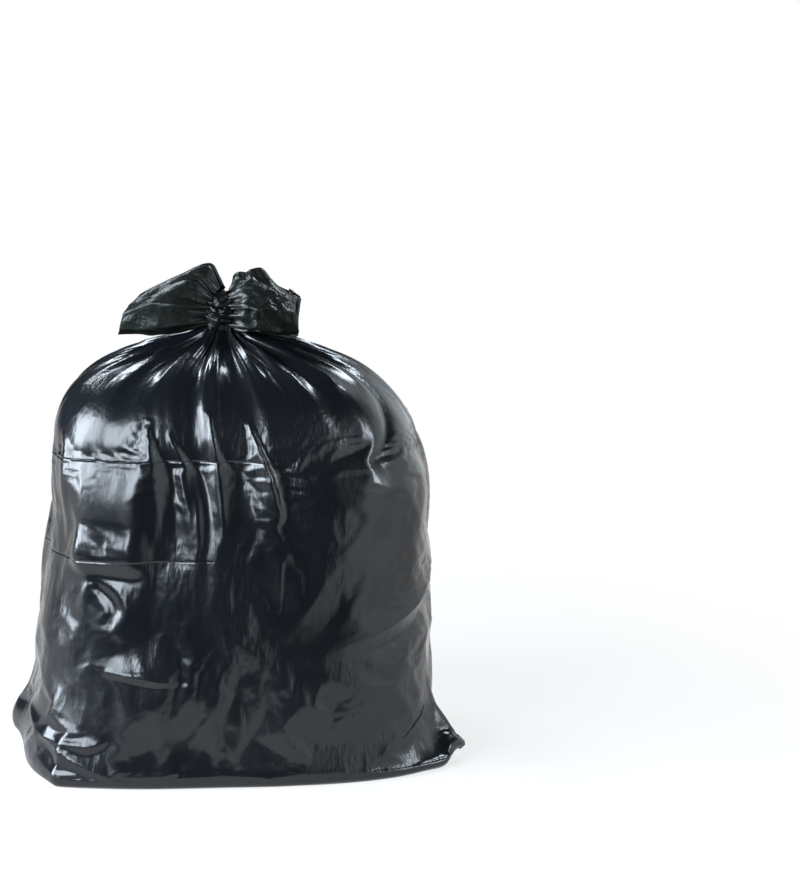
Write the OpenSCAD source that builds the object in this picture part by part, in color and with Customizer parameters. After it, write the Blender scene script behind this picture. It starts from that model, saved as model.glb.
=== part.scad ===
// Filled bin bag with its mouth tied in a knot of its own film.
// One folded and tied piece of film, full and sealed, so it is one solid.
// +Z is up, -Y is the front, and the origin is the middle of the flat base.

/* [Filled body] */
// Width of the body at its foot, without the sealed corners
foot_w = 452; // [380:2:520]
// Depth of the body at its foot, front to back
foot_d = 318; // [260:2:400]
// Width of the body at its belly
belly_w = 401; // [350:1:460]
// Depth of the body at its belly
belly_d = 290; // [240:2:380]
// Height of the belly, above which the top closes
belly_h = 286; // [240:2:340]
// Height at which the knot grips the neck
neck_h = 464; // [410:2:540]
// Radius between the flat base and the walls
foot_r = 20; // [12:1:30]
// Squareness of the body's outline, 2 for an ellipse
squareness = 3.3; // [2.2:0.1:4]
// Squareness of the left shoulder
left_shoulder = 2.8; // [2:0.1:4]
// Squareness of the right shoulder
right_shoulder = 2.7; // [2:0.1:4]
// How far up the left wall keeps the foot's width, 1 for an even slope
left_flare = 2.1; // [1:0.1:3]
// How soon the right wall narrows above the foot, 1 for an even slope
right_flare = 2.4; // [1:0.1:3]
// Sideways shift of the belly from the base's middle
belly_shift = 15; // [-20:1:20]
// Sideways shift of the neck from the base's middle
neck_shift = -7; // [-30:1:30]
// Turn of the foot against the belly, in degrees
foot_turn = 4; // [-10:1:10]

/* [Gathered neck] */
// Width of the film where the knot grips it
neck_w = 36; // [28:1:50]
// Height that the film draws up in a tent around the neck
tent_h = 16; // [6:1:26]
// Distance from the neck over which the film draws up
tent_reach = 34; // [20:1:60]
// Number of gathers around the neck
gathers = 19; // [11:2:21]
// Depth of a gather near the neck
gather_depth = 7.5; // [3:0.5:11]
// Distance that a gather runs down from the neck
gather_run = 235; // [140:5:300]

/* [Folds in the film] */
// Height of the lowest packing fold
pack_fold_h = 128; // [110:2:180]
// Distance from one packing fold to the next
pack_fold_pitch = 108; // [80:2:120]
// Depth of a packing fold
pack_fold_depth = 3; // [1:0.5:5]
// Width of a packing fold
pack_fold_w = 9; // [7:0.5:14]
// Height that a crease stands out of the film
crease_rise = 6; // [2:0.5:9]
// Width of a narrow crease
crease_w = 12; // [10:1:20]
// Depth of the slack hollows between the folds
slack = 5; // [1:0.5:7]

/* [Sealed corners] */
// Distance that the right corner stands out of the wall
right_corner_reach = 30; // [14:1:40]
// Distance that the left corner, which is folded under, stands out of the wall
left_corner_reach = 22; // [10:1:30]
// Height of a corner's tip
corner_tip_h = 40; // [30:1:60]
// Length of a corner along the wall
corner_len = 34; // [24:1:60]

/* [Knot] */
// Width of the knot
knot_w = 44; // [38:1:56]
// Depth of the knot, front to back
knot_d = 46; // [38:1:56]
// Height of the roll of film that goes round the neck
wrap_h = 21; // [16:0.5:26]
// Thickness of that roll
wrap_t = 13; // [10:0.5:16]
// Depth of the pleats in that roll
wrap_pleat = 1.5; // [0:0.1:2.5]
// Slope of the roll, in degrees
wrap_tilt = 16; // [5:1:25]
// Width of each strand of film bunched up inside the roll
strand_w = 9; // [6:0.5:12]

/* [Loose ends] */
// Reach of the left end from the knot's middle
left_end_reach = 113; // [90:2:140]
// Height of the left end's upper edge above the knot's middle
left_end_rise = 49; // [36:1:64]
// Distance that the left end's front fold stands forward
left_end_depth = 25; // [16:1:34]
// Reach of the right end from the knot's middle
right_end_reach = 83; // [64:1:104]
// Height of the right end's upper edge above the knot's middle
right_end_rise = 40; // [30:1:54]
// Distance that the right end's front fold stands forward
right_end_depth = 38; // [28:1:48]
// Thickness of the film around an end's open rim
end_t = 3; // [2:0.5:4]
// Depth of the opening at an end's rim
end_open = 34; // [16:1:46]
// Depth of the pleats where an end leaves the knot
end_pleat = 3; // [1:0.5:5]

/* [Hidden] */

around = 92;
foot_rings = 3;
wall_rings = 17;
dome_rings = 23;
tiny = 0.01;
neck_r = neck_w / 2;
knot_h = wrap_h + wrap_t;
knot_mid = [neck_shift, 0, neck_h + knot_h / 2];
// Radius that turns a bearing round the body into a distance along the film
film_r = (belly_w + belly_d) / 4;

// Creases, each as bearing and share of the neck's height at its two ends, then its share of the
// crease's width and of its rise, and how much steeper it falls on its lower or right side.
// A negative rise is a valley.
CREASES = [
    [239.5, 0.83, 238.5, 0.55, 1, -0.8, 0.5],
    [211, 0.82, 209, 0.56, 1, 0.7, 1],
    [246.5, 0.83, 253, 0.73, 1, 0.5, 1],
    [254, 0.7, 256, 0.56, 1, 0.5, 1],
    [281, 0.83, 286.8, 0.6, 1, 1.2, 0.4],
    [286.8, 0.62, 287, 0.42, 1, 0.5, 0.6],
    [221, 0.5, 241, 0.375, 1.2, 1.5, 0.35],
    [229, 0.315, 248, 0.24, 1, 1.2, 0.35],
    [218, 0.3, 233, 0.36, 1, 0.7, 1],
    [214, 0.122, 196, 0.17, 1, 0.8, 1],
    [214, 0.122, 197, 0.08, 1, 0.8, 1],
    [214, 0.122, 235, 0.04, 1, 1, 0.5],
    [214, 0.122, 216, 0.23, 1, 0.7, 1],
    [214, 0.122, 234, 0.11, 1, 0.7, 1],
    [322.5, 0.8, 294.8, 0.4, 2.8, 1.2, 0.6],
    [354, 0.95, 322, 0.76, 1, -1.2, 1],
    [355, 0.424, 310, 0.3, 1.1, -1, 1],
    [352, 0.48, 314, 0.345, 1, 0.7, 0.5],
    [348, 0.22, 318, 0.06, 1, 0.8, 0.5],
    [327, 0.01, 352, 0.075, 1.1, 1.3, 0.4],
    [330, 0.95, 313, 0.86, 1, 0.8, 0.5],
    [222, 0.885, 241, 0.9, 1, 0.5, 1],
    [226, 0.86, 238, 0.915, 1, 0.5, 1],
    [12, 0.7, 24, 0.36, 1.3, 0.8, 0.5],
    [46, 0.78, 60, 0.4, 1.3, -0.8, 1],
    [70, 0.5, 102, 0.34, 1.2, 1, 0.4],
    [40, 0.3, 8, 0.12, 1, 1, 0.5],
    [118, 0.82, 112, 0.48, 1.1, 1, 0.5],
    [140, 0.46, 168, 0.22, 1.2, 1, 0.4],
    [152, 0.74, 160, 0.44, 1.1, -0.8, 1],
    [132, 0.2, 172, 0.1, 1, 1, 0.5],
    [186, 0.66, 182, 0.34, 1.2, 0.8, 0.5],
    [85, 0.86, 92, 0.62, 1, 1, 0.4],
];

// Corners of the foot, each as bearing, height, reach, and its lengths along and up the wall
CORNERS = [
    [184, 1.1 * corner_tip_h, left_corner_reach, 0.6 * corner_len, corner_tip_h],
    [221, 0.3 * corner_tip_h, 0.86 * left_corner_reach, 0.65 * corner_len, 0.85 * corner_tip_h],
    [345, 0.9 * corner_tip_h, right_corner_reach, 0.45 * corner_len, 0.95 * corner_tip_h],
    [337, 0.25 * corner_tip_h, 0.6 * right_corner_reach, 0.75 * corner_len, 0.6 * corner_tip_h],
];

function mix(a, b, t) = a + (b - a) * t;
function clamp01(x) = min(1, max(0, x));
function ease(x) = let(t = clamp01(x)) t * t * (3 - 2 * t);
function bell(x) = exp(-x * x);
function turn_between(a, b) = (a - b + 540) % 360 - 180;
function rounded_polar(th, a, b, n) =
    pow(pow(abs(cos(th)) / a, n) + pow(abs(sin(th)) / b, n), -1 / n);

// The body's plain outline

function film_distance(th, other) = abs(turn_between(th, other)) * film_r * PI / 180;
function corner_pull(th, h) = sum_of([
    for (c = CORNERS) c[2] * exp(-film_distance(th, c[0]) / c[3]) * bell((h - c[1]) / c[4])
]);
function widening(th, h) =
    let(up = clamp01(h / belly_h))
    mix(1 - pow(up, left_flare), pow(1 - up, right_flare), (1 + cos(th)) / 2);
function outline_r(th, h) =
    let(w = widening(th, h), turned = th - foot_turn * w)
    rounded_polar(turned, mix(belly_w, foot_w, w) / 2, mix(belly_d, foot_d, w) / 2, squareness)
        + corner_pull(th, h);
function shoulder_squareness(th) = mix(left_shoulder, right_shoulder, (1 + cos(th)) / 2);
function dome_height() = neck_h - tent_h - belly_h;

// Radius and height on the plain body. t runs 0 to 1 round the foot, to 2 up the wall,
// and to 3 over the top.
function foot_point(th, t) = [
    outline_r(th, 0) - foot_r * (1 - sin(90 * t)),
    foot_r * (1 - cos(90 * t))
];
function wall_point(th, t) =
    let(h = mix(foot_r, belly_h, t))
    [outline_r(th, h), h];
function dome_point(th, t) =
    let(
        a = 90 * (1 - pow(1 - clamp01(t), 1.35)),
        n = shoulder_squareness(th),
        size = pow(pow(cos(a), n) + pow(sin(a), n), 1 / n),
        r = norm([outline_r(th, belly_h) * cos(a) / size, neck_r]),
        tent = tent_h * exp(-(r - neck_r) / tent_reach)
    )
    [r, belly_h + dome_height() * sin(a) / size + tent];
function plain_point(th, t) =
    t < 1 ? foot_point(th, t) : t < 2 ? wall_point(th, t - 1) : dome_point(th, t - 2);
function plain_normal(th, t) =
    let(
        step = 0.02,
        along = plain_point(th, min(3, t + step)) - plain_point(th, max(0, t - step))
    )
    [along[1], -along[0]] / norm(along);

// What the film does on the body: gathers, packing folds, creases and slack

function gather_warp(th) =
    5 * sin(2 * th + 40) + 3 * sin(3 * th + 100) + 2 * sin(7 * th + 10) + 1.2 * sin(11 * th);
function gather_wave(th) = 1 - 2 * pow(abs(sin(gathers / 2 * (th + gather_warp(th)))), 0.8);
function gather_reach(th) =
    gather_run * (0.8 + 0.22 * sin(7 * th + 20) + 0.16 * sin(4 * th + 110) + 0.1 * sin(13 * th));
function gather(th, p) =
    let(far = norm([p[0] - neck_r, neck_h - p[1]]))
    gather_depth * gather_wave(th) * min(1, p[0] / (4 * neck_r))
        * pow(clamp01(1 - far / gather_reach(th)), 0.9);

function packing_fold(th, h) =
    let(nearest = round((h - pack_fold_h) / pack_fold_pitch))
    nearest < 0 || nearest > 2 ? 0 :
    -pack_fold_depth * bell((h - pack_fold_h - nearest * pack_fold_pitch) / pack_fold_w)
        * (0.55 + 0.45 * sin(2 * th + 80 * nearest + 200));

function crease_point(bearing, share) = [bearing * film_r * PI / 180, share * neck_h];
function crease_offset(c, th, h) =
    let(
        near_th = c[0] + turn_between(th, c[0]),
        p = crease_point(near_th, h / neck_h),
        a = crease_point(c[0], c[1]),
        b = crease_point(c[0] + turn_between(c[2], c[0]), c[3]),
        run = b - a,
        t = clamp01(((p - a) * run) / (run * run)),
        side = cross(p - a, run) * (run[0] * run[1] > 0 || abs(run[0]) < 0.2 * abs(run[1]) ? -1 : 1),
        away = norm(p - a - t * run) / (crease_w * c[4] * (side < 0 ? 1 : c[6]))
    )
    away > 2.6 ? 0 : crease_rise * c[5] * sin(180 * mix(0.1, 0.9, t)) * exp(-pow(away, 1.2));
function creases(th, h) = sum_of([for (c = CREASES) crease_offset(c, th, h)]);
function sum_of(list, i = 0, total = 0) =
    i == len(list) ? total : sum_of(list, i + 1, total + list[i]);

function slack_hollows(th, h) =
    slack * ease(h / 60)
        * (0.5 * sin(5 * th + 0.35 * h) * sin(0.9 * h + 50) + 0.5 * sin(3 * th - 0.5 * h + 70));

function middle_shift(h) =
    h < belly_h ? mix(0, belly_shift, ease(h / belly_h))
                : mix(belly_shift, neck_shift, ease((h - belly_h) / (neck_h - belly_h)));

function film_point(th, t) =
    let(
        p = plain_point(th, t),
        up = ease((p[1] - 1) / foot_r),
        below_neck = 1 - ease((p[1] - belly_h) / dome_height()),
        out = gather(th, p)
            + up * (packing_fold(th, p[1]) + creases(th, p[1]) + below_neck * slack_hollows(th, p[1])),
        q = p + plain_normal(th, t) * out
    )
    [q[0] * cos(th) + middle_shift(p[1]), q[0] * sin(th), max(p[1] == 0 ? 0 : tiny, q[1])];

module body() {
    levels = [
        for (i = [0:foot_rings - 1]) i / foot_rings,
        for (i = [0:wall_rings - 1]) 1 + i / wall_rings,
        for (i = [0:dome_rings]) 2 + i / dome_rings
    ];
    bearings = [for (j = [0:around - 1]) j * 360 / around];
    film = [for (t = levels) for (th = bearings) film_point(th, t)];
    // The neck goes on up into the knot.
    neck = [for (th = bearings) [neck_shift + neck_r * cos(th), neck_r * sin(th), neck_h + knot_h / 2]];
    points = concat([[0, 0, 0]], film, neck, [[neck_shift, 0, neck_h + knot_h / 2]]);
    last = len(points) - 1;
    rings = len(levels) + 1;
    at = function(i, j) 1 + i * around + j % around;
    polyhedron(points, [
        for (j = [0:around - 1]) [0, at(0, j), at(0, j + 1)],
        for (i = [0:rings - 2]) for (j = [0:around - 1]) each [
            [at(i, j), at(i + 1, j), at(i + 1, j + 1)],
            [at(i, j), at(i + 1, j + 1), at(i, j + 1)]
        ],
        for (j = [0:around - 1]) [last, at(rings - 1, j + 1), at(rings - 1, j)]
    ]);
}

// One turn of film rolled round the neck. Its section is an oval with seven pleats, which turn by
// two places on the way round.
module wrap(tilt, turn, w, d, h) {
    segments = 20;
    pleats = 7;
    places = 2 * pleats;
    shift = 4;
    points = [
        for (i = [0:segments - 1]) for (j = [0:places - 1])
            let(
                a = i * 360 / segments,
                s = (j + shift * i / segments) * 360 / places,
                swell = (j % 2 == 0 ? 1 : -1) * wrap_pleat + 0.8 * sin(3 * a + tilt),
                out = (w - wrap_t) / 2 + (wrap_t / 2 + swell) * cos(s),
                up = (h / 2 + swell) * sin(s)
            )
            [out * cos(a), out * sin(a) * d / w, up]
    ];
    at = function(i, j) (i % segments) * places + (j + (i == segments ? shift : 0)) % places;
    translate(knot_mid)
        rotate([0, 0, turn])
            rotate([tilt, tilt / 2, 0])
                polyhedron(points, [
                    for (i = [0:segments - 1]) for (j = [0:places - 1]) each [
                        [at(i, j), at(i + 1, j + 1), at(i + 1, j)],
                        [at(i, j), at(i, j + 1), at(i + 1, j + 1)]
                    ]
                ]);
}

// Film bunched up inside the turns, which fills the knot: strands that stand round its middle.
module knot_core()
    translate(knot_mid)
        for (a = [0:45:315])
            hull()
                for (z = [-1, 1])
                    rotate([0, 0, a + 20 * z])
                        translate([0.22 * knot_w, 0, z * 0.42 * knot_h])
                            scale([1, 1, 1.3])
                                sphere(d = strand_w, $fn = 8);

module knot() {
    wrap(wrap_tilt, 0, knot_w, knot_d, wrap_h);
    wrap(-wrap_tilt * 1.5, 25, knot_w * 0.86, knot_d * 0.86, wrap_h * 1.25);
    knot_core();
}

// A loose end: a flattened tube of film that leaves the knot bunched and is open at its rim.
// A net has four rows from the knot to the rim. Each goes from the lower edge up the front, over
// a fold to the upper edge and down the back, in shares of the end's reach, depth and rise.
LEFT_NET = [
    [[0.08, -0.16, -0.27], [0.10, -0.48, -0.16], [0.11, -0.60, 0.06], [0.08, -0.24, 0.31],
     [0.01, 0.16, 0.51], [-0.01, 0.40, 0.27], [0.03, 0.32, -0.06]],
    [[0.28, -0.32, -0.39], [0.31, -0.88, -0.25], [0.33, -1.00, 0.14], [0.26, -0.24, 0.61],
     [0.12, 0.36, 1.00], [0.11, 0.68, 0.63], [0.22, 0.48, -0.06]],
    [[0.61, -0.16, -0.53], [0.65, -0.76, -0.37], [0.66, -0.92, 0.22], [0.61, -0.24, 0.48],
     [0.42, 0.28, 0.73], [0.42, 0.56, 0.46], [0.54, 0.40, -0.14]],
    [[1.00, 0.00, -0.57], [0.97, -0.36, -0.41], [0.93, -0.48, -0.06], [0.87, -0.28, 0.12],
     [0.72, 0.12, 0.39], [0.73, 0.36, 0.22], [0.87, 0.24, -0.22]],
];
RIGHT_NET = [
    [[0.08, -0.21, -0.45], [0.13, -0.42, -0.34], [0.13, -0.47, 0.07], [0.11, -0.21, 0.33],
     [0.12, 0.11, 0.53], [0.16, 0.26, 0.33], [0.13, 0.21, -0.07]],
    [[0.33, -0.63, -0.50], [0.35, -0.89, -0.38], [0.37, -0.76, 0.07], [0.30, -0.32, 0.53],
     [0.27, 0.08, 1.00], [0.33, 0.32, 0.68], [0.33, 0.05, -0.17]],
    [[0.64, -0.84, -0.60], [0.67, -1.00, -0.45], [0.69, -0.79, 0.07], [0.64, -0.26, 0.55],
     [0.54, 0.11, 1.00], [0.59, 0.34, 0.62], [0.61, 0.00, -0.23]],
    [[0.98, -0.68, -0.66], [0.99, -0.79, -0.45], [0.95, -0.63, 0.00], [0.95, -0.26, 0.14],
     [1.00, 0.05, 0.40], [1.00, 0.24, 0.25], [0.98, -0.16, -0.28]],
];
END_ROWS = 9;
OPEN_ROWS = 2;
PANEL_STEPS = 4;

function row_between(net, t) =
    let(
        last = len(net) - 1,
        i = min(last - 1, floor(t * last)),
        f = t * last - i,
        b = net[i],
        c = net[i + 1],
        a = i > 0 ? net[i - 1] : 2 * b - c,
        d = i + 2 <= last ? net[i + 2] : 2 * c - b
    )
    0.5 * (2 * b + f * (c - a) + f * f * (2 * a - 5 * b + 4 * c - d)
        + f * f * f * (3 * b - a - 3 * c + d));
function middle_of(ring) = sum_of(ring, 0, [0, 0, 0]) / len(ring);
function end_ring(net, size, t) =
    let(
        corners = [for (p = row_between(net, t)) [for (k = [0:2]) p[k] * size[k]]],
        middle = middle_of(corners),
        count = len(corners)
    )
    [
        for (k = [0:count - 1]) for (j = [0:PANEL_STEPS - 1])
            let(
                p = mix(corners[k], corners[(k + 1) % count], j / PANEL_STEPS),
                out = (p - middle) / norm(p - middle)
            )
            p + out * end_pleat * (j % 2 == 0 ? 1 : -1) * pow(1 - t, 1.6)
    ];
function inside_ring(ring) =
    let(middle = middle_of(ring))
    [for (p = ring) p + (middle - p) * min(0.7, end_t / norm(p - middle))];

module loose_end(side, net, reach, depth, rise) {
    size = [side * reach, depth, rise];
    open = end_open / reach;
    outer = [for (i = [0:END_ROWS]) end_ring(net, size, i / END_ROWS)];
    inner = [for (i = [0:OPEN_ROWS]) inside_ring(end_ring(net, size, 1 - open * i / OPEN_ROWS))];
    rings = concat(outer, inner);
    count = len(outer[0]);
    last = len(rings) * count;
    ends = [middle_of(rings[0]), middle_of(rings[len(rings) - 1])];
    points = concat([for (ring = rings) each ring], ends);
    at = function(i, j) i * count + j % count;
    // The faces run the other way round on the left end, which is a mirrored form.
    wind = function(f) side < 0 ? f : [f[2], f[1], f[0]];
    translate(knot_mid)
        polyhedron(points, [
            for (i = [0:len(rings) - 2]) for (j = [0:count - 1]) each [
                wind([at(i, j), at(i + 1, j + 1), at(i, j + 1)]),
                wind([at(i, j), at(i + 1, j), at(i + 1, j + 1)])
            ],
            for (j = [0:count - 1]) each [
                wind([last, at(0, j), at(0, j + 1)]),
                wind([last + 1, at(len(rings) - 1, j + 1), at(len(rings) - 1, j)])
            ]
        ]);
}

module bag() {
    color([0.06, 0.065, 0.075])
        union() {
            body();
            knot();
            loose_end(-1, LEFT_NET, left_end_reach, left_end_depth, left_end_rise);
            loose_end(1, RIGHT_NET, right_end_reach, right_end_depth, right_end_rise);
        }
}

bag();
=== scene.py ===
import math
import bpy
import numpy as np
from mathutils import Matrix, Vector


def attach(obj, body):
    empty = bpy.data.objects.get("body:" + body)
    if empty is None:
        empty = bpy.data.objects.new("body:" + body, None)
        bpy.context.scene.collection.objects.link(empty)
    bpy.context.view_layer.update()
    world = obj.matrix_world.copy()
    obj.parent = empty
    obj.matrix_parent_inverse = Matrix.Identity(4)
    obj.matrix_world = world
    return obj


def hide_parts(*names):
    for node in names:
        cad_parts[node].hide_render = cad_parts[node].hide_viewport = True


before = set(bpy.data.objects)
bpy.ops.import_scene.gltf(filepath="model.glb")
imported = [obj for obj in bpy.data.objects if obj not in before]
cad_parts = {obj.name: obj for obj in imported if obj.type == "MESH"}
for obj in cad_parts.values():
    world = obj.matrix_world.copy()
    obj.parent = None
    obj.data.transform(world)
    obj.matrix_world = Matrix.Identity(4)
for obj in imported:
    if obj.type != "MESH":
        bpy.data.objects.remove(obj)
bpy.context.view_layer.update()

# The camera looks 12.5 degrees down from a little above the bag. Its frame is 800 pixels wide and
# 892 high, 0.917 pixels show a millimetre at the bag, and the bag's middle shows at MIDDLE_AT.
FRAME_W = 800
FRAME_H = 892
PIXELS_PER_MM = 0.917
CAMERA_AWAY = 2.4
CAMERA_DOWN = math.radians(12.5)
MIDDLE_AT = (232.5, 512)
SENSOR_W = 36
bag_middle = Vector((0, 0, 0.258))
ahead = Vector((0, math.cos(CAMERA_DOWN), -math.sin(CAMERA_DOWN)))
upward = Vector((0, math.sin(CAMERA_DOWN), math.cos(CAMERA_DOWN)))
right_shift = (FRAME_W / 2 - MIDDLE_AT[0]) / PIXELS_PER_MM / 1000
up_shift = (MIDDLE_AT[1] - FRAME_H / 2) / PIXELS_PER_MM / 1000
camera = bpy.data.objects.new("camera", bpy.data.cameras.new("camera"))
bpy.context.scene.collection.objects.link(camera)
bpy.context.scene.camera = camera
camera.location = bag_middle - CAMERA_AWAY * ahead + Vector((right_shift, 0, 0)) + up_shift * upward
camera.rotation_euler = (math.pi / 2 - CAMERA_DOWN, 0, 0)
camera.data.sensor_width = SENSOR_W
camera.data.lens = SENSOR_W * PIXELS_PER_MM * CAMERA_AWAY * 1000 / FRAME_H


# The floor: a sheet of pale paper under the bag, lit as the bag is. The camera and the film's
# gloss see it nearly white, and the bag's shadow stays on it.
class Shade:
    """A socket of a material. Sums on it add Math nodes to the same tree."""

    def __init__(self, tree, socket=None):
        self.tree = tree
        self.socket = socket

    def add(self, kind, settings=None, inputs=None, output=0):
        """A node of any kind: its settings first, then the values or links of its sockets, by their
        name or number. It gives back the output asked for."""
        made = self.tree.nodes.new("ShaderNode" + kind)
        for name, value in (settings or {}).items():
            setattr(made, name, value)
        for name, value in (inputs or {}).items():
            if isinstance(value, Shade):
                self.tree.links.new(value.socket, made.inputs[name])
            else:
                made.inputs[name].default_value = value
        return Shade(self.tree, made.outputs[output] if len(made.outputs) else None)

    def math(self, operation, other=0.0, turned=False):
        first, second = (other, self) if turned else (self, other)
        return self.add("Math", {"operation": operation}, {0: first, 1: second})

    def __add__(self, other):
        return self.math("ADD", other)

    __radd__ = __add__

    def __mul__(self, other):
        return self.math("MULTIPLY", other)

    __rmul__ = __mul__

    def __sub__(self, other):
        return self.math("SUBTRACT", other)

    def __rsub__(self, other):
        return self.math("SUBTRACT", other, turned=True)


PAPER_SIDE, PAPER_FRONT, PAPER_BACK = 6, -0.44, 7
PAPER_WHITE = 0.88
NEAR_GLOW, FAR_GLOW = 0.74, 1.0
NEAR_BAG, FAR_FROM_BAG = 0.3, 0.9
floor_mesh = bpy.data.meshes.new("floor")
paper_corners = [(-PAPER_SIDE, PAPER_FRONT, 0), (PAPER_SIDE, PAPER_FRONT, 0),
                 (PAPER_SIDE, PAPER_BACK, 0), (-PAPER_SIDE, PAPER_BACK, 0)]
floor_mesh.from_pydata(paper_corners, [], [(0, 1, 2, 3)])
floor = bpy.data.objects.new("floor", floor_mesh)
bpy.context.scene.collection.objects.link(floor)
paper = bpy.data.materials.new("paper")
paper.use_nodes = True
paper.node_tree.nodes.clear()
shade = Shade(paper.node_tree)
place = shade.add("TexCoord", output="Object")
seen = (shade.add("LightPath", output="Is Camera Ray") + shade.add("LightPath", output="Is Glossy Ray")
        + shade.add("LightPath", output="Is Transmission Ray"))
away = shade.add("VectorMath", {"operation": "LENGTH"}, {0: place}, "Value")
share = shade.add("MapRange", {"interpolation_type": "SMOOTHSTEP"}, {
    0: away, 1: NEAR_BAG, 2: FAR_FROM_BAG, 3: NEAR_GLOW, 4: FAR_GLOW})
lit = shade.add("BsdfDiffuse", None, {"Color": (PAPER_WHITE, PAPER_WHITE, PAPER_WHITE, 1)})
glow = shade.add("Emission", None, {"Color": (1, 1, 1, 1), "Strength": 1})
sheet = shade.add("MixShader", None, {0: seen * share, 1: lit, 2: glow})
shade.add("OutputMaterial", None, {"Surface": sheet})
floor_mesh.materials.append(paper)

# The room: a low white wall on the bag's right lights it, and the film's gloss mirrors it there. The
# rest of the room is dim, so the film mirrors it dark in front, and is white to the camera alone.
# Soft boxes give the bag its highlights.
ROOM_GREY = 0.04
ROOM_TINT = (0.86, 0.95, 1)
WALL_TURN = math.radians(5)
WALL_WHITE = 1.4
WALL_LIGHT = 0.5
WALL_EDGE = (0.15, 0.55)
WALL_TOP = (0.4, 0.8)
BOX_TINT = (0.8, 0.9, 1)
world = bpy.data.worlds.new("room")
bpy.context.scene.world = world
world.use_nodes = True
world.node_tree.nodes.clear()
shade = Shade(world.node_tree)
way = shade.add("TexCoord", output="Generated")
to_right = shade.add("SeparateXYZ", None, {0: way}, 0)
to_back = shade.add("SeparateXYZ", None, {0: way}, 1)
to_top = shade.add("SeparateXYZ", None, {0: way}, 2)
to_wall = to_right * math.cos(WALL_TURN) + to_back * math.sin(WALL_TURN)
beside = shade.add("MapRange", {"interpolation_type": "SMOOTHSTEP"}, {
    0: to_wall, 1: WALL_EDGE[0], 2: WALL_EDGE[1], 3: 0.0, 4: 1.0})
below_top = shade.add("MapRange", {"interpolation_type": "SMOOTHSTEP"}, {
    0: to_top, 1: WALL_TOP[0], 2: WALL_TOP[1], 3: 1.0, 4: 0.0})
wall = beside * below_top
looked_at = shade.add("LightPath", output="Is Camera Ray")
mirrored = (shade.add("LightPath", output="Is Glossy Ray")
            + shade.add("LightPath", output="Is Transmission Ray"))
seen = looked_at + mirrored * wall * WALL_WHITE
brightness = shade.add("Math", {"operation": "MAXIMUM"}, {0: seen, 1: wall * WALL_LIGHT + ROOM_GREY})
tint = shade.add("Mix", {"data_type": "RGBA"}, {0: looked_at, 6: (*ROOM_TINT, 1), 7: (1, 1, 1, 1)}, 2)
room = shade.add("Background", None, {"Color": tint, "Strength": brightness})
shade.add("OutputWorld", None, {"Surface": room})


def soft_box(name, place, width, height, watts):
    """A lamp like a photographer's soft box, a little blue and turned to the bag's middle."""
    lamp = bpy.data.lights.new(name, "AREA")
    lamp.shape = "RECTANGLE"
    lamp.size = width
    lamp.size_y = height
    lamp.energy = watts
    lamp.color = BOX_TINT
    box = bpy.data.objects.new(name, lamp)
    bpy.context.scene.collection.objects.link(box)
    box.location = place
    box.rotation_euler = (bag_middle - Vector(place)).to_track_quat("-Z", "Y").to_euler()


soft_box("side_box", (-1.56, -0.52, 0.72), 0.62, 1.08, 50)
soft_box("left_box", (-1.3, -1.02, 0.82), 0.5, 0.88, 22)
soft_box("front_left_box", (-0.8, -1.36, 0.74), 0.42, 0.85, 19)
soft_box("right_box", (1.5, -0.75, 1.1), 0.18, 0.9, 12)
soft_box("top_left_box", (-0.78, 0.85, 1.7), 0.6, 0.3, 14)
soft_box("top_right_box", (0.7, 0.9, 1.75), 0.45, 0.3, 11)
bpy.context.scene.view_settings.view_transform = "Standard"

# The filled body: one tube of blown film 0.03 mm thick, sealed flat across its foot and packed with
# refuse. It lies slack on what it holds, so it buckles into creases, and below the knot it gathers
# into pleats. Sizes are in millimetres, and bearings in degrees from its right round by its back.
FOOT_W, FOOT_D, FOOT_R = 452, 318, 20
BELLY_W, BELLY_D, BELLY_H = 401, 290, 286
NECK_H, NECK_R = 464, 18
NECK_SHIFT, BELLY_SHIFT = -7, 15
FOOT_TURN = 4
LEFT_FLARE, RIGHT_FLARE = 2.1, 2.4
SQUARENESS = 3.3
SHOULDERS = (2.8, 2.7)
BASE_MIDDLE_R = 12
TENT_H, TENT_REACH = 16, 34
PLEATS, SMALL_PLEATS = 19, 47
PLEAT_DEPTH, SMALL_PLEAT_DEPTH = 7.5, 3.4
PLEAT_RUN = 235
FILM_R = (BELLY_W + BELLY_D) / 4
DOME_H = NECK_H - TENT_H - BELLY_H
MM = 0.001

# The refuse has hollows and lumps that end below the neck, and lies a gap below the film. The film
# is longer than its way over the refuse, by shares of its length around the bag and up it.
HOLLOW_DEPTH, LUMP_RISE = 2.5, 1.8
LUMP_END, LUMP_FADE = 120, 100
GAP_LOW, GAP_HIGH, GAP_H, GAP_FADE = 9, 2, 310, 70
SLACK_AROUND, SLACK_AROUND_SPREAD, MOST_AROUND = 0.016, 0.014, 0.15
SLACK_UP, SLACK_UP_SPREAD, MOST_UP = 0.006, 0.012, 0.12
SLACK_AT_FOOT, SLACK_AT_TOP, TOP_SHARE = 0.6, 1.3, 0.8
SLACK_END, SLACK_FADE = 20, 70
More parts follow.
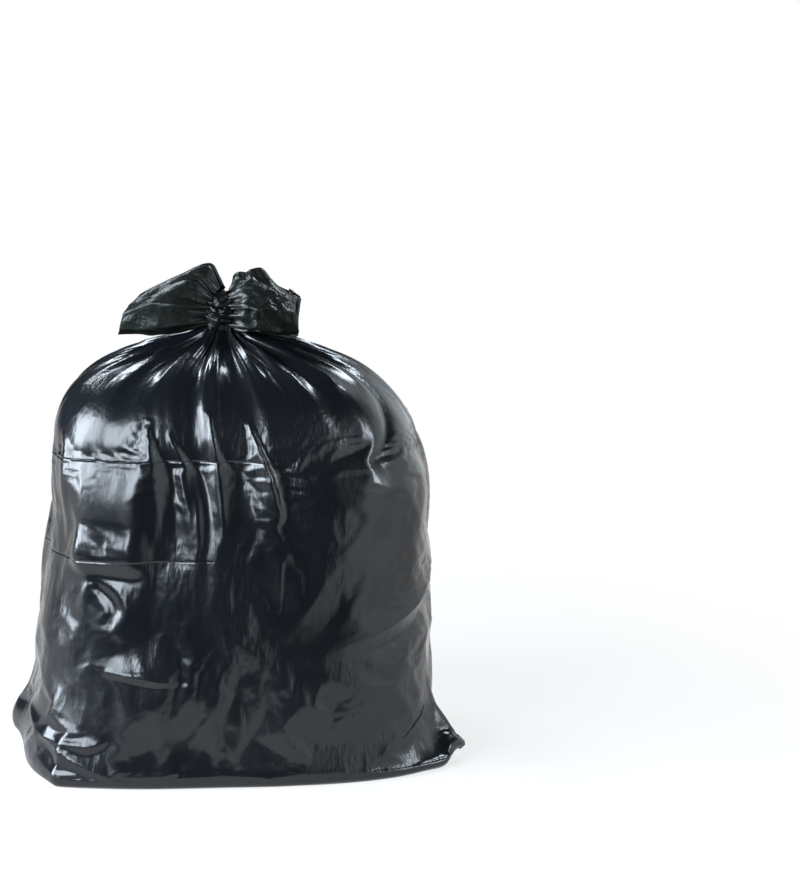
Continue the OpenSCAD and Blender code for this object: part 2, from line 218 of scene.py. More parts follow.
# Main folds of the film: bearing and share of the neck's height at each end, width and rise in
# millimetres, and the share of that width on the steeper side, mostly the lower or right one.
FOLDS = [
    (241, 0.85, 240, 0.54, 32, 10, 0.22),
    (211, 0.82, 209, 0.56, 9, 4, 1),
    (246.5, 0.83, 253, 0.73, 6, 3, 1),
    (254, 0.70, 256, 0.56, 7, 3, 1),
    (282, 0.85, 287.5, 0.63, 11, 11, 0.35),
    (286.8, 0.62, 287, 0.42, 7, 3, 0.6),
    (217, 0.53, 234, 0.35, 26, 10, 0.6),
    (229, 0.29, 250, 0.265, 14, 8, 0.35),
    (214, 0.122, 196, 0.17, 6, 5, 1),
    (214, 0.122, 197, 0.08, 6, 5, 1),
    (214, 0.122, 235, 0.04, 7, 6, 0.5),
    (214, 0.122, 216, 0.23, 6, 4, 1),
    (214, 0.122, 234, 0.11, 6, 4, 1),
    (322.5, 0.80, 294.8, 0.40, 34, 7, 0.6),
    (354, 0.95, 322, 0.76, 10, -7, 1),
    (355, 0.424, 310, 0.30, 13, -6, 1),
    (352, 0.48, 314, 0.345, 9, 4, 0.5),
    (348, 0.22, 318, 0.06, 12, 5, 0.5),
    (327, 0.01, 352, 0.075, 13, 8, 0.4),
    (330, 0.95, 313, 0.86, 8, 5, 0.5),
    (222, 0.885, 241, 0.90, 6, 3, 1),
    (226, 0.86, 238, 0.915, 5, 3, 1),
    (12, 0.70, 24, 0.36, 16, 5, 0.5),
    (46, 0.78, 60, 0.40, 16, -5, 1),
    (70, 0.50, 102, 0.34, 14, 6, 0.4),
    (40, 0.30, 8, 0.12, 12, 6, 0.5),
    (118, 0.82, 112, 0.48, 13, 6, 0.5),
    (140, 0.46, 168, 0.22, 14, 6, 0.4),
    (152, 0.74, 160, 0.44, 13, -5, 1),
    (132, 0.20, 172, 0.10, 12, 6, 0.5),
    (186, 0.66, 182, 0.34, 14, 5, 0.5),
    (85, 0.86, 92, 0.62, 12, 6, 0.4),
]
# Where the foot's sealed corners draw the film out, each into two points: bearing and height of a
# point's tip, and its reach, width and height.
CORNERS = [(184, 44, 22, 20, 40), (221, 12, 19, 22, 34), (345, 36, 30, 15, 38), (337, 10, 18, 26, 24)]
# Where the film is slacker, or lies taut where the last number is 0: bearing, share of the neck's
# height, width in degrees, height in shares, and how much longer the film is there.
SLACK_PLACES = [
    (202, 0.11, 22, 0.11, 0.02), (222, 0.36, 20, 0.2, 0), (228, 0.68, 13, 0.16, 0),
    (308, 0.58, 17, 0.22, 0), (264, 0.42, 16, 0.17, 0),
]
# Lines where the film was folded flat in its packet: heights of both ends, and their bearings. They
# are pressed in and wave a little, and their ends fade over degrees.
PACKET_LINES = [(350, 352, 216, 292), (248, 250, 205, 262), (244, 244, 20, 130), (350, 350, 90, 175)]
PACKET_LINE_DEPTH, PACKET_LINE_W, PACKET_LINE_WAVE, PACKET_LINE_FADE = 1.1, 3.2, 1.5, 12
# Where the refuse holds the film out in a flat panel: bearings of its sides, heights of its top, of
# its full reach and of its foot, and that reach. It fades over degrees at its sides, and over
# millimetres below its foot.
PANELS = [(210, 241, 354, 262, 254, 12)]
PANEL_SIDE_FADE, PANEL_FOOT_FADE = 8, 26


def sine(degrees):
    return np.sin(np.radians(degrees))


def cosine(degrees):
    return np.cos(np.radians(degrees))


def mix(low, high, share):
    return low + (high - low) * share


def ease(x):
    share = np.clip(x, 0, 1)
    return share * share * (3 - 2 * share)


def bell(x):
    return np.exp(-x * x)


def turn_between(bearing, other):
    return (bearing - other + 540) % 360 - 180


def corner_pull(bearing, height):
    """How far the sealed corners of the foot draw the film out into points."""
    return sum(reach * np.exp(-np.abs(turn_between(bearing, at)) * FILM_R * math.pi / 180 / width)
               * bell((height - tip) / tall) for at, tip, reach, width, tall in CORNERS)


def outline_r(bearing, height):
    """Radius of the body's outline at a height: a soft rectangle with its corners drawn out."""
    share = np.clip(height / BELLY_H, 0, 1)
    wide = mix(1 - share ** LEFT_FLARE, (1 - share) ** RIGHT_FLARE, (1 + cosine(bearing)) / 2)
    turned = bearing - FOOT_TURN * wide
    across = np.abs(cosine(turned)) / (mix(BELLY_W, FOOT_W, wide) / 2)
    along = np.abs(sine(turned)) / (mix(BELLY_D, FOOT_D, wide) / 2)
    plain = (across ** SQUARENESS + along ** SQUARENESS) ** (-1 / SQUARENESS)
    return plain + corner_pull(bearing, height)


def plain_point(bearing, level):
    """Radius and height. The level runs -1 to 0 over the base, to 1 round the foot, to 2 up the
    wall and to 3 over the top."""
    bearing, level = np.broadcast_arrays(bearing, level)
    foot_r = outline_r(bearing, 0 * bearing)
    over_base = np.clip(level + 1, 0, 1)
    round_foot = 90 * np.clip(level, 0, 1)
    r = np.where(level < 0, mix(BASE_MIDDLE_R, foot_r - FOOT_R, over_base),
                 foot_r - FOOT_R * (1 - sine(round_foot)))
    z = np.where(level < 0, 0, FOOT_R * (1 - cosine(round_foot)))
    wall_z = mix(FOOT_R, BELLY_H, np.clip(level - 1, 0, 1))
    r = np.where(level >= 1, outline_r(bearing, wall_z), r)
    z = np.where(level >= 1, wall_z, z)
    rise = 90 * (1 - (1 - np.clip(level - 2, 0, 1)) ** 1.35)
    shoulder = mix(SHOULDERS[0], SHOULDERS[1], (1 + cosine(bearing)) / 2)
    size = (np.abs(cosine(rise)) ** shoulder + np.abs(sine(rise)) ** shoulder) ** (1 / shoulder)
    belly_r = outline_r(bearing, BELLY_H + 0 * bearing)
    dome_r = np.hypot(belly_r * np.abs(cosine(rise)) / size, NECK_R * sine(rise))
    dome_z = BELLY_H + DOME_H * sine(rise) / size + TENT_H * np.exp(-(dome_r - NECK_R) / TENT_REACH)
    return np.where(level >= 2, dome_r, r), np.where(level >= 2, dome_z, z)


def even_levels(rows):
    """Levels that stand evenly apart along the film, with fewer on the base."""
    base_share = 0.3
    fine = np.linspace(-0.9, 3, 4000)
    length = np.zeros(fine.shape)
    for bearing in (0, 90, 180, 270):
        r, z = plain_point(np.full(fine.shape, float(bearing)), fine)
        step = np.hypot(np.diff(r), np.diff(z)) * np.where(fine[1:] < 0, base_share, 1)
        length[1:] += np.cumsum(step)
    return np.interp(np.linspace(0, length[-1], rows), length, fine)


def middle_shift(z):
    """How far the body's middle stands to the side at a height."""
    low = mix(0, BELLY_SHIFT, ease(z / BELLY_H))
    high = mix(BELLY_SHIFT, NECK_SHIFT, ease((z - BELLY_H) / (NECK_H - BELLY_H)))
    return np.where(z < BELLY_H, low, high)


def stand(bearing, r, z):
    """Places points by bearing, radius and height."""
    return np.stack([r * cosine(bearing) + middle_shift(z), r * sine(bearing), z])


def spread_noise(shape, cells, random):
    """Smooth noise over the grid, closed round the bag."""
    rows, columns = shape
    grid = random.standard_normal((cells[0] + 3, cells[1]))
    down = np.linspace(0, cells[0], rows)
    along = np.arange(columns) * cells[1] / columns
    row = np.minimum(cells[0] - 1, down.astype(int))
    column = along.astype(int)

    def weights(f):
        return ((-f ** 3 + 2 * f ** 2 - f) / 2, (3 * f ** 3 - 5 * f ** 2 + 2) / 2,
                (-3 * f ** 3 + 4 * f ** 2 + f) / 2, (f ** 3 - f ** 2) / 2)

    total = np.zeros(shape)
    for i, down_weight in enumerate(weights(down - row)):
        for j, along_weight in enumerate(weights(along - column)):
            picked = grid[np.ix_(row + i, (column + j - 1) % cells[1])]
            total += down_weight[:, None] * along_weight[None, :] * picked
    return total


def fold_height(bearing, z):
    """How far the main folds stand out of the film, and how far the packet's lines lie in it."""
    total = np.zeros(z.shape)
    to_mm = FILM_R * math.pi / 180
    for from_bearing, from_share, to_bearing, to_share, width, rise, steep in FOLDS:
        x = turn_between(bearing, from_bearing) * to_mm
        y = z - from_share * NECK_H
        run_x = turn_between(to_bearing, from_bearing) * to_mm
        run_y = (to_share - from_share) * NECK_H
        run = math.hypot(run_x, run_y)
        share = np.clip((x * run_x + y * run_y) / run ** 2, 0, 1)
        away = np.hypot(x - share * run_x, y - share * run_y)
        side = (x * run_y - y * run_x) / run
        if run_x * run_y > 0 or abs(run_x) < 0.2 * abs(run_y):
            side = -side
        lean = np.where(side < 0, 1.0, steep)
        total += rise * np.sin(math.pi * mix(0.1, 0.9, share)) * np.exp(-(away / (width * lean)) ** 1.2)
    for left_z, right_z, left, right in PACKET_LINES:
        across = np.clip((bearing - left) / (right - left), 0, 1)
        line_z = mix(left_z, right_z, across) + PACKET_LINE_WAVE * sine(bearing * 7)
        ends = ease((bearing - left) / PACKET_LINE_FADE) * ease((right - bearing) / PACKET_LINE_FADE)
        total -= PACKET_LINE_DEPTH * ends * np.exp(-np.abs(z - line_z) / PACKET_LINE_W)
    return total


def panel_push(bearing, z):
    """How far the refuse holds the film out in flat panels."""
    total = np.zeros(z.shape)
    for left, right, top, full, foot, push in PANELS:
        across = ease((bearing - left) / PANEL_SIDE_FADE) * ease((right - bearing) / PANEL_SIDE_FADE)
        above_foot = ease((z - foot + PANEL_FOOT_FADE) / PANEL_FOOT_FADE)
        total += push * across * np.clip((top - z) / (top - full), 0, 1) * above_foot
    return total


def pleat_height(bearing, r, z):
    """How far the pleats below the knot stand out of the film. Slow waves round the bag warp them
    and change how far they run, so that no two are alike."""
    away = np.hypot(r - NECK_R, NECK_H - z)
    warp = (5 * sine(2 * bearing + 40) + 3 * sine(3 * bearing + 100)
            + 2 * sine(7 * bearing + 10) + 1.2 * sine(11 * bearing))
    big = 1 - 2 * np.abs(sine(PLEATS / 2 * (bearing + warp))) ** 0.8
    small = 1 - 2 * np.abs(sine(SMALL_PLEATS / 2 * (bearing + warp * 1.3))) ** 0.9
    run = PLEAT_RUN * (0.8 + 0.22 * sine(7 * bearing + 20) + 0.16 * sine(4 * bearing + 110)
                       + 0.1 * sine(13 * bearing))
    small_run = 0.55 * PLEAT_RUN * (0.8 + 0.3 * sine(9 * bearing + 50) + 0.2 * sine(5 * bearing + 10))
    fade = np.clip(1 - away / run, 0, 1) ** 0.9
    small_fade = np.clip(1 - away / small_run, 0, 1)
    return (PLEAT_DEPTH * big * np.minimum(1, r / (4 * NECK_R)) * fade
            + SMALL_PLEAT_DEPTH * small * np.minimum(1, r / (5 * NECK_R)) * small_fade)


def film_grid(rows, columns, random):
    """The film as it was folded and filled, what holds it from inside, the way out of it, how free
    it is to move, and how much longer than folded it is around the bag and up it."""
    level = even_levels(rows)[:, None]
    bearing = (np.arange(columns) * 360 / columns)[None, :]
    r, z = plain_point(bearing, level)
    bearing = np.broadcast_to(bearing, r.shape)
    r_up, z_up = plain_point(bearing, np.minimum(3, level + 0.01))
    r_down, z_down = plain_point(bearing, np.maximum(-1, level - 0.01))
    out_r, out_z = z_up - z_down, r_down - r_up
    for _ in range(6):
        out_r[1:-1] = (out_r[:-2] + 2 * out_r[1:-1] + out_r[2:]) / 4
        out_z[1:-1] = (out_z[:-2] + 2 * out_z[1:-1] + out_z[2:]) / 4
    size = np.hypot(out_r, out_z)
    out = np.stack([out_r * cosine(bearing), out_r * sine(bearing), out_z]) / size
    free = ease((z - 1) / FOOT_R)
    near_neck = ease((z - (NECK_H - LUMP_END)) / LUMP_FADE)
    pleats = pleat_height(bearing, r, z)
    folds = fold_height(bearing, z)
    hollows = sine(5 * bearing + 0.35 * z) * sine(0.9 * z + 50) + sine(3 * bearing - 0.5 * z + 70)
    small_lumps = LUMP_RISE * spread_noise(r.shape, (11, 15), random)
    lumps = (HOLLOW_DEPTH * ease(z / 60) * hollows + small_lumps) * (1 - near_neck)
    lumps = lumps + panel_push(bearing, z)
    film = stand(bearing, r, z) + out * (pleats + free * (folds + lumps))
    gap = mix(GAP_LOW, GAP_HIGH, ease((z - GAP_H) / GAP_FADE))
    pushed = free * lumps + np.minimum(0, pleats) + free * np.minimum(0, folds)
    inside = stand(bearing, r, z) + out * (pushed - gap)
    held = free * ease((NECK_H - SLACK_END - z) / SLACK_FADE)
    around = SLACK_AROUND + SLACK_AROUND_SPREAD * spread_noise(r.shape, (9, 11), random)
    around *= mix(SLACK_AT_FOOT, SLACK_AT_TOP, ease(z / NECK_H / TOP_SHARE))
    upward = SLACK_UP + SLACK_UP_SPREAD * spread_noise(r.shape, (9, 11), random)
    for at, share, wide, tall, slacker in SLACK_PLACES:
        place = bell(turn_between(bearing, at) / wide) * bell((z / NECK_H - share) / tall)
        around += (slacker - np.maximum(0, around) * (slacker <= 0)) * place
        upward += (slacker - np.maximum(0, upward) * (slacker <= 0)) * place
    slack_around = np.clip(around, 0, MOST_AROUND) * held
    slack_up = np.clip(upward, 0, MOST_UP) * held
    return film, inside, out, free, slack_around, slack_up


def settle(film, made, inside, out, free, slack_around, slack_up, steps, shake, random,
           loosest=15, slip=9, weight=0.02, held_rows=3):
    """Lets the film find its length: edges keep theirs, it resists sharp bends, and it stays
    between what it holds and its loosest place. It creeps a little, as slack film does."""
    bend, wide_bend, shear = 0.12, 0.14, 0.4
    drag, fastest, passes, over = 0.8, 1.5, 4, 1.1
    slack_across = (slack_around + slack_up) / 2
    # An edge's cells around and up, its stiffness, its slack and its share of the length. Those
    # below 1 span several cells, and resist a bend when they are shorter than that.
    edges = []
    for across, up, stiff, slack, rest in (
            (1, 0, 1, slack_around, 1), (0, 1, 1, slack_up, 1),
            (1, 1, shear, slack_across, 1), (-1, 1, shear, slack_across, 1),
            (2, 0, bend, slack_around, 0.995), (0, 2, bend, slack_up, 0.995),
            (4, 0, wide_bend, slack_around, 0.96), (0, 4, wide_bend, slack_up, 0.96)):
        rows = made.shape[1] - up
        run = np.roll(made, -across, axis=2)[:, up:] - made[:, :rows]
        length = np.sqrt((run * run).sum(0)) * (1 + slack[:rows]) * rest
        edges.append((across, up, stiff, length.astype(np.float32), rest < 1))
    total = 2 + 2 * shear + 2 * bend + 2 * wide_bend
    points = (film + out * shake * random.standard_normal(film.shape[1:]) * free).astype(np.float32)
    made, inside, out, free = (part.astype(np.float32) for part in (made, inside, out, free))
    top, bottom = points[:, points.shape[1] - held_rows:].copy(), points[:, :2].copy()
    speed = np.zeros_like(points)
    for _ in range(steps):
        before = points.copy()
        points += speed * drag
        points[2] -= weight * free
        for _ in range(passes):
            push = np.zeros_like(points)
            for across, up, stiff, length, bends in edges:
                run = np.roll(points, -across, axis=2)[:, up:] - points[:, :points.shape[1] - up]
                now = np.sqrt((run * run).sum(0)) + 1e-6
                pull = (now - length) / now * (0.5 * stiff)
                run *= np.minimum(pull, 0) if bends else pull
                push[:, :points.shape[1] - up] += run
                push[:, up:] -= np.roll(run, across, axis=2)
            points += push * (over / total)
        height = ((points - inside) * out).sum(0)
        points += out * (0.9 * np.maximum(0, -height) - 0.5 * np.maximum(0, height - loosest))
        away = points - made
        away -= out * (away * out).sum(0)
        slid = np.sqrt((away * away).sum(0)) + 1e-6
        points -= away * (np.maximum(0, slid - slip) / slid)
        np.maximum(points[2], 0, out=points[2])
        points[:, points.shape[1] - held_rows:], points[:, :2] = top, bottom
        speed = np.clip(points - before, -fastest, fastest)
    return points.astype(float)


def finer(points, rows, columns):
    """The same grid with more rows and columns."""
    down = np.linspace(0, points.shape[1] - 1, rows)
    row = np.minimum(points.shape[1] - 2, down.astype(int))
    share = (down - row)[None, :, None]
    points = points[:, row] * (1 - share) + points[:, row + 1] * share
    along = np.arange(columns) * points.shape[2] / columns
    column = along.astype(int)
    share = (along - column)[None, None, :]
    return points[:, :, column] * (1 - share) + points[:, :, (column + 1) % points.shape[2]] * share


# The film settles on a coarse grid first, and then on two finer ones: rows, columns, steps and how
# far each point is shaken out of place at the start.
SEED = 11
film = None
for rows, columns, steps, shake in ((64, 96, 80, 1.5), (128, 192, 80, 0.6), (250, 380, 60, 0.2)):
    grid = film_grid(rows, columns, np.random.default_rng(SEED))
    start = grid[0] if film is None else finer(film, rows, columns)
    film = settle(start, *grid, steps, shake, np.random.default_rng(SEED + columns))


def closed_grid_mesh(name, points, cap):
    """A smooth mesh of a grid that is closed across, with its first row closed by a fan."""
    rows, columns = points.shape[1:]
    index = np.arange(rows * columns).reshape(rows, columns)
    turned = np.roll(index, -1, axis=1)
    quads = np.stack([index[:-1], turned[:-1], turned[1:], index[1:]], -1).reshape(-1, 4).tolist()
    corners = points.reshape(3, -1).T.tolist()
    if cap:
        corners.append(points[:, 0].mean(axis=1).tolist())
        quads += [(len(corners) - 1, turned[0, j], index[0, j]) for j in range(columns)]
    mesh = bpy.data.meshes.new(name)
    mesh.from_pydata([[MM * x for x in corner] for corner in corners], [], quads)
    mesh.polygons.foreach_set("use_smooth", [True] * len(mesh.polygons))
    made = bpy.data.objects.new(name, mesh)
    bpy.context.scene.collection.objects.link(made)
    return made


body = closed_grid_mesh("film_body", film, cap=True)


def film_material(name, colour, shine, gloss, crinkle, packet_folds=()):
    """Blown black film: a deep gloss, drawn out a little up the bag, with fine crinkles. Packet
    folds are thin lines across it, each given in metres by its height, its slope and where it
    fades out to the right."""
    material = bpy.data.materials.new(name)
    material.use_nodes = True
    material.node_tree.nodes.clear()
    shade = Shade(material.node_tree)
    place = shade.add("TexCoord", output="Object")
    stretched = shade.add("Mapping", None, {"Vector": place, "Scale": (1.0, 1.0, 0.3)})
    streaks = shade.add("TexNoise", None, {
        "Vector": stretched, "Scale": 60, "Detail": 3, "Roughness": 0.5})
    patches = shade.add("TexNoise", None, {"Vector": place, "Scale": 9, "Detail": 2, "Roughness": 0.5})
    wrinkles = shade.add("TexNoise", {"noise_type": "RIDGED_MULTIFRACTAL"}, {
        "Vector": stretched, "Scale": 46, "Detail": 3, "Roughness": 0.55,
        "Lacunarity": 2.3, "Offset": 1, "Gain": 2})
    loose = shade.add("MapRange", None, {0: patches, 1: 0.42, 2: 0.62, 3: 0.15, 4: 1.0})
    height = streaks * 0.5 + wrinkles * loose * 0.5
    wander, half_line, fade_run = 0.006, 0.0016, 0.05
    for fold_z, slope, fade_x in packet_folds:
        at_x = shade.add("SeparateXYZ", None, {0: place}, 0)
        at_z = shade.add("SeparateXYZ", None, {0: place}, 2)
        apart = (at_z - at_x * slope + patches * wander - (fold_z + wander / 2)).math("ABSOLUTE")
        line = shade.add("MapRange", None, {0: apart, 1: 0.0, 2: half_line, 3: 1.0, 4: 0.0})
        kept = shade.add("MapRange", None, {0: at_x, 1: fade_x - fade_run, 2: fade_x, 3: 1.0, 4: 0.0})
        height = height - line * kept
    bump = shade.add("Bump", None, {"Strength": crinkle, "Distance": 0.002, "Height": height})
    rough = shade.add("MapRange", None, {0: patches, 1: 0.3, 2: 0.7, 3: gloss - 0.04, 4: gloss + 0.06})
    lighter = tuple(1.9 * part for part in colour)
    tone = shade.add("Mix", {"data_type": "RGBA"}, {0: patches, 6: (*colour, 1), 7: (*lighter, 1)}, 2)
    surface = shade.add("BsdfPrincipled", None, {
        "Base Color": tone, "Roughness": rough, "Normal": bump, "Specular IOR Level": shine, "IOR": 1.5})
    shade.add("OutputMaterial", None, {"Surface": surface})
    return material


body.data.materials.append(film_material(
    "black_film", (0.003, 0.0038, 0.005), shine=0.5, gloss=0.21, crinkle=0.35,
    packet_folds=((0.345, 0.017, 0.08), (0.244, 0.04, 0.0))))
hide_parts("bag")
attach(body, "root")

# The knot: the gathered mouth goes round the neck as two rolled, pleated bands of film, one over
# the other, with a stub of bunched film between them.
KNOT_MID = np.array([NECK_SHIFT, 0, NECK_H + 17])
# Each band's width, depth, tilt and turn, the thickness and height of its film, its pleats and twist
BANDS = [
    ("knot_band", 34, 37, 16, 0, 15, 22, 9, 2),
    ("knot_under_band", 28, 30, -24, 25, 14, 32, 8, -3),
]
BAND_PLEAT_SHARE, BAND_ROUGHNESS = 0.38, 0.1
STUB_R, STUB_TOP_R, STUB_H = 17, 8, 44
STUB_PLEATS, STUB_PLEAT_DEPTH = 14, 2.2


def rolled_band(centres, sides, ups, thick, tall, pleats, twist, random):
    """A closed ring of bunched film: its section is an oval with pleats that run along it."""
    length, around = centres.shape[1], 56
    turn = np.arange(around) * 2 * math.pi / around
    along = np.arange(length) / length
    phase = pleats * turn[:, None] + 2 * math.pi * twist * along[None, :]
    pleat = 1 - BAND_PLEAT_SHARE * np.abs(np.sin(phase / 2)) ** 0.7
    rough = spread_noise((length, around), (23, 9), random).T * BAND_ROUGHNESS
    swell = pleat + rough
    out = np.cos(turn)[:, None] * thick / 2 * swell
    up = np.sin(turn)[:, None] * tall / 2 * swell
    return centres[:, None, :] + sides[:, None, :] * out[None] + ups[:, None, :] * up[None]


def ring_frame(width, depth, tilt, turned, count=180):
    """A tilted oval path round the neck, with its outward and upward directions."""
    angle = np.arange(count) * 2 * math.pi / count
    path = np.stack([width / 2 * np.cos(angle), depth / 2 * np.sin(angle), 0 * angle])
    side = np.stack([np.cos(angle), np.sin(angle), 0 * angle])
    lean, bow, turned = math.radians(tilt), math.radians(tilt / 2), math.radians(turned)
    about_x = np.array([
        [1, 0, 0], [0, math.cos(lean), -math.sin(lean)], [0, math.sin(lean), math.cos(lean)]])
    about_y = np.array([
        [math.cos(bow), 0, math.sin(bow)], [0, 1, 0], [-math.sin(bow), 0, math.cos(bow)]])
    about_z = np.array([
        [math.cos(turned), -math.sin(turned), 0], [math.sin(turned), math.cos(turned), 0], [0, 0, 1]])
    whole = about_z @ about_y @ about_x
    up = np.broadcast_to((whole @ np.array([0, 0, 1]))[:, None], path.shape)
    return whole @ path + KNOT_MID[:, None], whole @ side, up


knot = []
for name, width, depth, tilt, turned, thick, tall, pleats, twist in BANDS:
    path, side, up = ring_frame(width, depth, tilt, turned)
    random = np.random.default_rng(len(knot) + 5)
    points = rolled_band(path, side, up, thick, tall, pleats, twist, random)
    knot.append(closed_grid_mesh(name, np.concatenate([points, points[:, :1]], axis=1), cap=False))
stub_turn = np.radians(np.arange(120) * 3)[None, :]
stub_up = np.linspace(0, 1, 40)[:, None]
stub_pleats = STUB_PLEAT_DEPTH * np.abs(np.sin(STUB_PLEATS / 2 * stub_turn + 2 * stub_up))
stub_r = STUB_R - (STUB_R - STUB_TOP_R) * ease(stub_up * 1.2 - 0.3) + stub_pleats
stub_r *= 1 - 0.9 * stub_up ** 8
stub_z = (stub_up * STUB_H - STUB_H / 2) + 0 * stub_turn
stub = np.stack([stub_r * np.cos(stub_turn), stub_r * np.sin(stub_turn), stub_z])
knot.append(closed_grid_mesh("knot_stub", stub + KNOT_MID[:, None, None], cap=False))
# The knot's film is the body's film with a darker colour and a weaker reflection: painted shade, for the
# shadow the ends and crumples cast on the knot.
knot_film_painted_shade = film_material("knot_film_painted_shade", (0.002, 0.0028, 0.003), shine=0.2, gloss=0.25, crinkle=0.4)
for piece in knot:
    piece.data.materials.append(knot_film_painted_shade)
    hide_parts("bag")
    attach(piece, "root")

# The loose ends: the two corners of the bag's mouth, drawn out of the knot. Each is a flattened
# tube of film that leaves the knot bunched and lies in flat panels, and its rim is turned over in
# a cuff.
END_FILM_T = 0.3
END_PLEAT_DEPTH, END_SMALL_PLEAT_DEPTH = 3.6, 1.2
END_GAP = 5
END_SLACK, END_SLACK_SPREAD, END_MOST_SLACK = 0.004, 0.008, 0.05
CUFF_LIFT = (0.5, 2.2)
# The rows of each net run from the knot to the rim. Each goes from the lower edge up the front,
# over a fold to the upper edge and down the back, in shares of reach, depth and rise.
LEFT_NET = [
    [(0.08, -0.16, -0.27), (0.10, -0.48, -0.16), (0.11, -0.60, 0.06), (0.08, -0.24, 0.31),
     (0.01, 0.16, 0.51), (-0.01, 0.40, 0.27), (0.03, 0.32, -0.06)],
    [(0.28, -0.32, -0.39), (0.31, -0.88, -0.25), (0.33, -1.00, 0.14), (0.26, -0.24, 0.61),
     (0.12, 0.36, 1.00), (0.11, 0.68, 0.63), (0.22, 0.48, -0.06)],
    [(0.61, -0.16, -0.53), (0.65, -0.76, -0.37), (0.66, -0.92, 0.22), (0.61, -0.24, 0.48),
     (0.42, 0.28, 0.73), (0.42, 0.56, 0.46), (0.54, 0.40, -0.14)],
    [(1.00, 0.00, -0.57), (0.97, -0.36, -0.41), (0.93, -0.48, -0.06), (0.87, -0.28, 0.12),
     (0.72, 0.12, 0.39), (0.73, 0.36, 0.22), (0.87, 0.24, -0.22)],
]
RIGHT_NET = [
    [(0.08, -0.21, -0.45), (0.13, -0.42, -0.34), (0.13, -0.47, 0.07), (0.11, -0.21, 0.33),
     (0.12, 0.11, 0.53), (0.16, 0.26, 0.33), (0.13, 0.21, -0.07)],
    [(0.33, -0.55, -0.50), (0.35, -0.74, -0.38), (0.37, -0.93, 0.16), (0.30, -0.40, 0.60),
     (0.27, 0.08, 1.00), (0.33, 0.32, 0.68), (0.33, 0.05, -0.17)],
    [(0.64, -0.66, -0.60), (0.67, -0.80, -0.45), (0.69, -1.00, 0.16), (0.64, -0.40, 0.60),
     (0.54, 0.11, 1.00), (0.59, 0.34, 0.62), (0.61, 0.00, -0.23)],
    [(0.98, -0.55, -0.66), (0.99, -0.66, -0.45), (0.95, -0.80, 0.06), (0.95, -0.24, 0.20),
     (1.00, 0.05, 0.40), (1.00, 0.24, 0.25), (0.98, -0.16, -0.28)],
]
# Each end's net, its reach, depth and rise in millimetres, its pleats, the rows of its cuff, how
# crumpled it is and its seed
ENDS = [
    ("left_end", LEFT_NET, (-113, 25, 49), 11, 14, 1.0, 11),
    ("right_end", RIGHT_NET, (83, 38, 40), 10, 9, 2.2, 14),
]


def along_curve(points, count):
    """Carries the net's few rows of points on into many, on smooth curves from knot to rim."""
    ends = np.concatenate([[2 * points[0] - points[1]], points, [2 * points[-1] - points[-2]]])
    place = np.linspace(0, len(points) - 1, count)
    index = np.minimum(len(points) - 2, place.astype(int))
    f = (place - index)[:, None, None]
    a, b, c, d = (ends[index + k] for k in range(4))
    return 0.5 * (2 * b + (c - a) * f + (2 * a - 5 * b + 4 * c - d) * f ** 2
                  + (3 * b - a - 3 * c + d) * f ** 3)


def in_panels(points, count):
    """Closes each row of points into a ring of flat panels, with its folds rounded a little."""
    place = np.arange(count) * points.shape[1] / count
    index = place.astype(int)
    share = (place - index)[None, :, None]
    ring = points[:, index] * (1 - share) + points[:, (index + 1) % points.shape[1]] * share
    for _ in range(6):
        ring = (np.roll(ring, 1, axis=1) + 2 * ring + np.roll(ring, -1, axis=1)) / 4
    return ring


def outward(points):
    """The direction out of a closed grid at each of its points."""
    across = np.roll(points, -1, axis=2) - np.roll(points, 1, axis=2)
    out = np.cross(across, np.gradient(points, axis=1), axis=0)
    return out / (np.sqrt((out * out).sum(0)) + 1e-6)


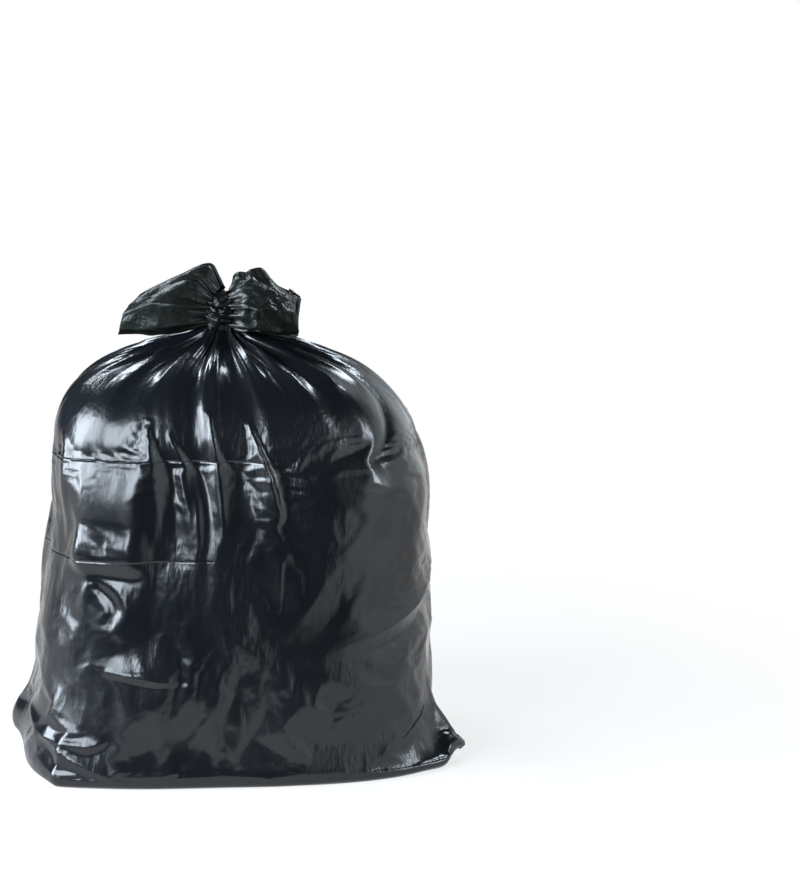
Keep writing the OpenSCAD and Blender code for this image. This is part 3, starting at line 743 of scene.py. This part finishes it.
def loose_end(net, size, pleats, cuff, crumple, random):
    """One end, from its net of points to its settled film. Its reach is negative to the left."""
    rows, columns = 100, 224
    made = np.moveaxis(in_panels(along_curve(np.array(net) * size + KNOT_MID, rows), columns), 2, 0)
    side = np.sign(size[0])
    out = outward(made) * side
    from_knot = np.linspace(0, 1, rows)[:, None]
    across = (np.arange(columns) / columns)[None, :]
    wander = 0.25 * np.sin(2 * math.pi * across) + 0.12 * np.sin(6 * math.pi * across + 1)
    wave = 1 - 2 * np.abs(np.sin(math.pi * (pleats * across + wander))) ** 0.8
    small_turn = math.pi * (2 * pleats + 3) * across + wander + 2 * from_knot
    small_wave = 1 - 2 * np.abs(np.sin(small_turn)) ** 0.8
    reach = np.clip(1 - from_knot / (0.55 + 0.2 * np.sin(4 * math.pi * across + 2)), 0, 1)
    gathers = wave * END_PLEAT_DEPTH * reach ** 1.4 + small_wave * END_SMALL_PLEAT_DEPTH * reach ** 2
    made = made + out * gathers
    dents = spread_noise((rows, columns), (5, 7), random)
    dents = dents + 0.5 * spread_noise((rows, columns), (11, 19), random)
    made = made + out * crumple * dents * ease(from_knot * 3)
    slack = END_SLACK + END_SLACK_SPREAD * spread_noise((rows, columns), (9, 13), random)
    slack = crumple * slack.clip(0, END_MOST_SLACK) * ease(from_knot * 5)
    free = ease(from_knot * 6) + 0 * across
    film = settle(made, made, made - out * END_GAP, out, free, slack, slack, steps=40, shake=0.3,
                  random=random, loosest=10, slip=5, weight=0.0, held_rows=0)
    lift = np.linspace(*CUFF_LIFT, cuff)[None, :, None]
    turned_over = film[:, -2:-2 - cuff:-1] + (outward(film) * side)[:, -2:-2 - cuff:-1] * lift
    return np.concatenate([film, turned_over], axis=1)


# The ends' film reflects less than the same film on the body, which paints shade on the ends.
end_film_painted_shade = film_material("end_film_painted_shade", (0.003, 0.004, 0.0032), shine=0.33, gloss=0.33, crinkle=0.35)
# The cuff's film is the same black film painted lighter and greyer: a painted sheen on the turned-over
# rim.
cuff_film_painted_sheen = film_material("cuff_film_painted_sheen", (0.02, 0.021, 0.02), shine=0.4, gloss=0.5, crinkle=0.35)
for name, net, size, pleats, cuff, crumple, seed in ENDS:
    points = loose_end(net, size, pleats, cuff, crumple, np.random.default_rng(seed))
    end = closed_grid_mesh(name, points, cap=False)
    thickness = end.modifiers.new("film_thickness", "SOLIDIFY")
    thickness.thickness = MM * END_FILM_T
    end.data.materials.append(end_film_painted_shade)
    end.data.materials.append(cuff_film_painted_sheen)
    # The cuff's faces take the film with the painted sheen.
    first_of_cuff = (points.shape[1] - cuff) * points.shape[2]
    end.data.polygons.foreach_set(
        "material_index", [int(face >= first_of_cuff) for face in range(len(end.data.polygons))])
    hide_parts("bag")
    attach(end, "root")
